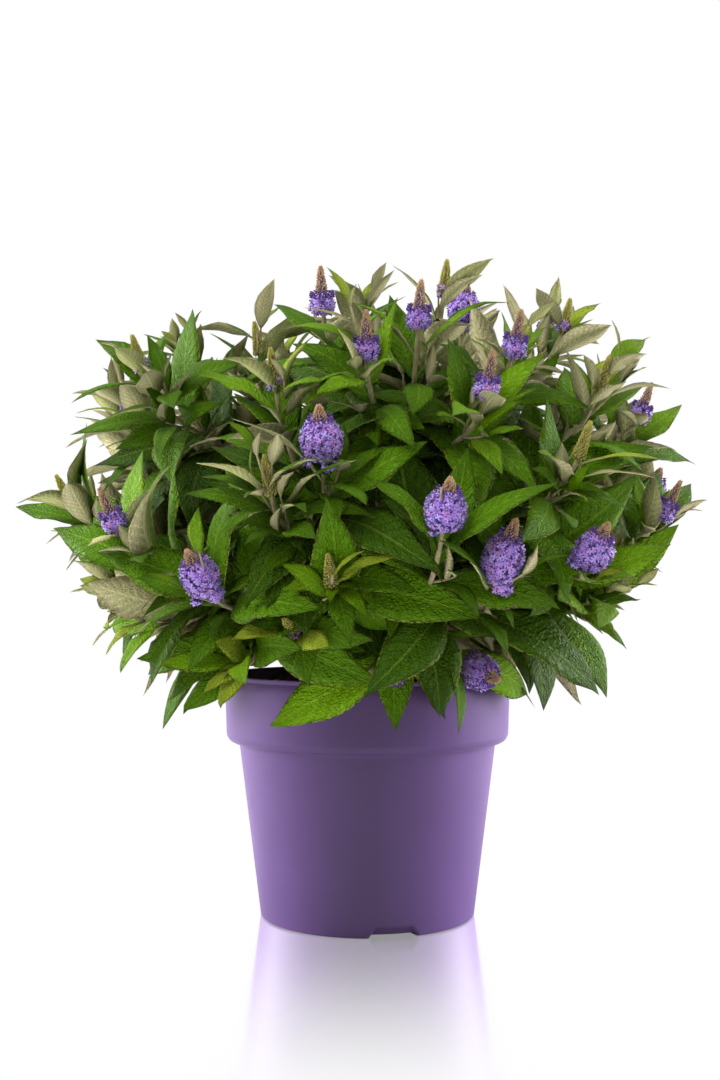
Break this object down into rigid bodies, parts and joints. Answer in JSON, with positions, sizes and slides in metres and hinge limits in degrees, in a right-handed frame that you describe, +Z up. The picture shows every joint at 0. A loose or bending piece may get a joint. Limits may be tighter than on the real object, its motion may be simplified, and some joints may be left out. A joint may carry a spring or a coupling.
{
  "type": "butterfly bush in a pot",
  "caption": "Dome-shaped butterfly bush with pointed leaves and short violet flower heads, growing in a round nursery pot with a wide band round its rim.",
  "frame": {"origin": "middle of the pot's flat underside, on the surface that the pot stands on", "axes": "+Z straight up along the pot's axis, -Y towards the front of the plant, +X to the right seen from the front"},
  "size_m": [0.5693, 0.5406, 0.5449],
  "materials": {
    "pot_plastic": "injection moulded polypropylene, soft sheen, muted violet",
    "compost": "moist peaty potting compost, loose and fibrous",
    "bark": "pale buff young bark, finely ridged",
    "foliage": "deep green quilted leaves with grey felted undersides",
    "twig": "pale green felted young shoots",
    "young_leaf": "soft yellow-green young leaves",
    "leaf_underside": "grey buff felt",
    "floret": "matt violet petals",
    "flower_bud": "brown felted closed buds"
  },
  "bodies": {
    "root": {"pot": "pot_plastic", "soil": "compost", "stem": "bark", "bough_01": "bark", "mass_01": "foliage", "bough_02": "bark", "mass_02": "foliage", "bough_03": "bark", "mass_03": "foliage", "bough_04": "bark", "mass_04": "foliage", "bough_05": "bark", "mass_05": "foliage", "bough_06": "bark", "mass_06": "foliage", "bough_07": "bark", "mass_07": "foliage", "bough_08": "bark", "mass_08": "foliage", "bough_09": "bark", "mass_09": "foliage", "bough_10": "bark", "mass_10": "foliage", "bough_11": "bark", "mass_11": "foliage", "bough_12": "bark", "mass_12": "foliage", "bough_13": "bark", "mass_13": "foliage", "bough_14": "bark", "mass_14": "foliage", "bough_15": "bark", "mass_15": "foliage", "bough_16": "bark", "mass_16": "foliage", "bough_17": "bark", "mass_17": "foliage"}
  },
  "joints": []
}
